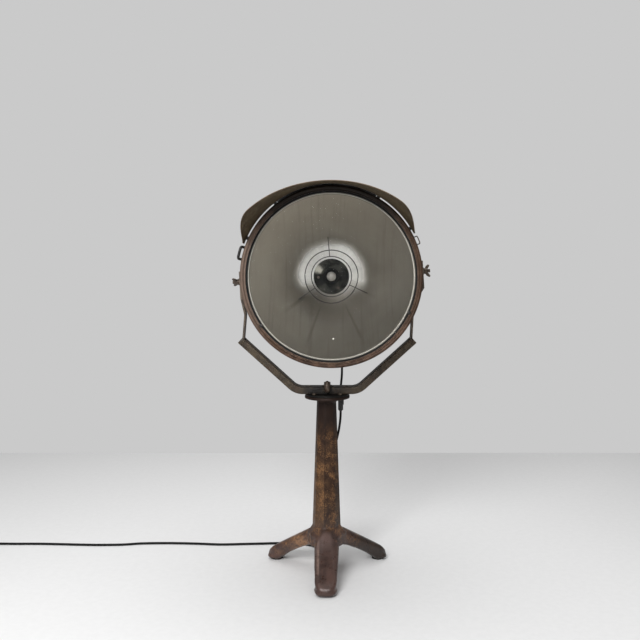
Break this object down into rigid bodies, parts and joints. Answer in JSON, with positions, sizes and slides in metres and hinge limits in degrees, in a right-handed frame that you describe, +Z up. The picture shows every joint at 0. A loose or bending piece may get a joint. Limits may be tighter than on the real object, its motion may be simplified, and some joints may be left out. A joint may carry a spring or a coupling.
{
  "type": "tripod spotlight floor lamp",
  "caption": "Industrial spotlight floor lamp: visored round head that tilts in a forked yoke on a cast pedestal with three toes.",
  "frame": {"origin": "on the floor, under the middle of the lamp head", "axes": "+Z up, the lamp looks along -Y, +X to the right of someone facing its glass"},
  "size_m": [1.4596, 0.6517, 1.104],
  "materials": {
    "cast": "pitted and rusted",
    "felt": "pressed felt",
    "fork_paint": "worn brown paint",
    "black_plate": "worn black",
    "bolts": "dull, lightly rusted",
    "head_paint": "worn brown paint",
    "visor_paint": "dull olive brown",
    "mirror_metal": "spun, dulled polish",
    "dark_metal": "black",
    "bright_screws": "plain",
    "cap_brass": "plain",
    "bulb_glass": "opal",
    "clear_glass": "clear",
    "seal_rubber": "matte",
    "black_plastic": "matte"
  },
  "bodies": {
    "base": {"pedestal": "cast", "foot_pads": "felt", "pan_stud": "bolts", "lower_cord": "seal_rubber", "cord_coil": "seal_rubber", "coil_tie": "black_plastic", "plug_body": "black_plastic", "plug_pins": "bright_screws"},
    "pan_lever": {"pan_lever": "bolts"},
    "yoke": {"swivel_plate": "black_plate", "plate_bolts": "bolts", "fork": "fork_paint", "fork_bolts": "bolts", "pan_washer": "bolts", "left_strap": "fork_paint", "right_strap": "fork_paint", "strap_bolts": "bolts", "pivot_washers": "bolts", "upper_cord": "seal_rubber", "switch_left_shell": "black_plastic", "switch_right_shell": "black_plastic"},
    "rocker": {"switch_rocker": "black_plastic"},
    "head": {"housing": "head_paint", "rear_cover": "head_paint", "cover_screws": "bolts", "pivot_brackets": "head_paint", "pivot_bolts": "bolts", "reflector": "mirror_metal", "holder_plate": "dark_metal", "holder_screws": "bright_screws", "lamp_holder": "black_plastic", "bulb_cap": "cap_brass", "bulb": "bulb_glass", "wire_guard": "dark_metal", "cable_gland": "seal_rubber", "gland_nut": "bolts", "inner_lead": "seal_rubber", "clip_lugs": "head_paint", "front_ring": "head_paint", "glass_seal": "seal_rubber", "front_glass": "clear_glass", "glass_clips": "dark_metal", "visor": "visor_paint", "visor_tabs": "visor_paint"},
    "left_bail": {"left_clip": "dark_metal"},
    "right_bail": {"right_clip": "bolts"},
    "left_nut": {"left_wing_nut": "bolts"},
    "right_nut": {"right_wing_nut": "bolts"}
  },
  "joints": [
    {"name": "pan", "type": "hinge", "parent": "base", "child": "yoke", "pos_m": [-0.012, 0, 0.504], "axis": [0, 0, 1], "range_deg": [-120, 120]},
    {"name": "lock_lever", "type": "hinge", "parent": "yoke", "child": "pan_lever", "pos_m": [-0.012, 0, 0.538], "axis": [0, 0, 1], "range_deg": [-20, 20]},
    {"name": "tilt", "type": "hinge", "parent": "yoke", "child": "head", "pos_m": [0, 0, 0.847], "axis": [0.9982, 0, 0.0593], "range_deg": [-35, 25]},
    {"name": "left_clip_swing", "type": "hinge", "parent": "head", "child": "left_bail", "pos_m": [-0.23806, -0.08, 0.90901], "axis": [-0.2521, 0, -0.9677], "range_deg": [0, 75]},
    {"name": "right_clip_swing", "type": "hinge", "parent": "head", "child": "right_bail", "pos_m": [0.22661, -0.08, 0.94272], "axis": [-0.3891, 0, 0.9212], "range_deg": [0, 75]},
    {"name": "switch", "type": "hinge", "parent": "yoke", "child": "rocker", "pos_m": [0.0337, 0.11, 0.469], "axis": [0, 1, 0], "range_deg": [-7, 7]},
    {"name": "left_nut_turn", "type": "hinge", "parent": "head", "child": "left_nut", "pos_m": [0, 0, 0.847], "axis": [0.9982, 0, 0.0593], "continuous": true},
    {"name": "right_nut_turn", "type": "hinge", "parent": "head", "child": "right_nut", "pos_m": [0, 0, 0.847], "axis": [0.9982, 0, 0.0593], "continuous": true}
  ]
}
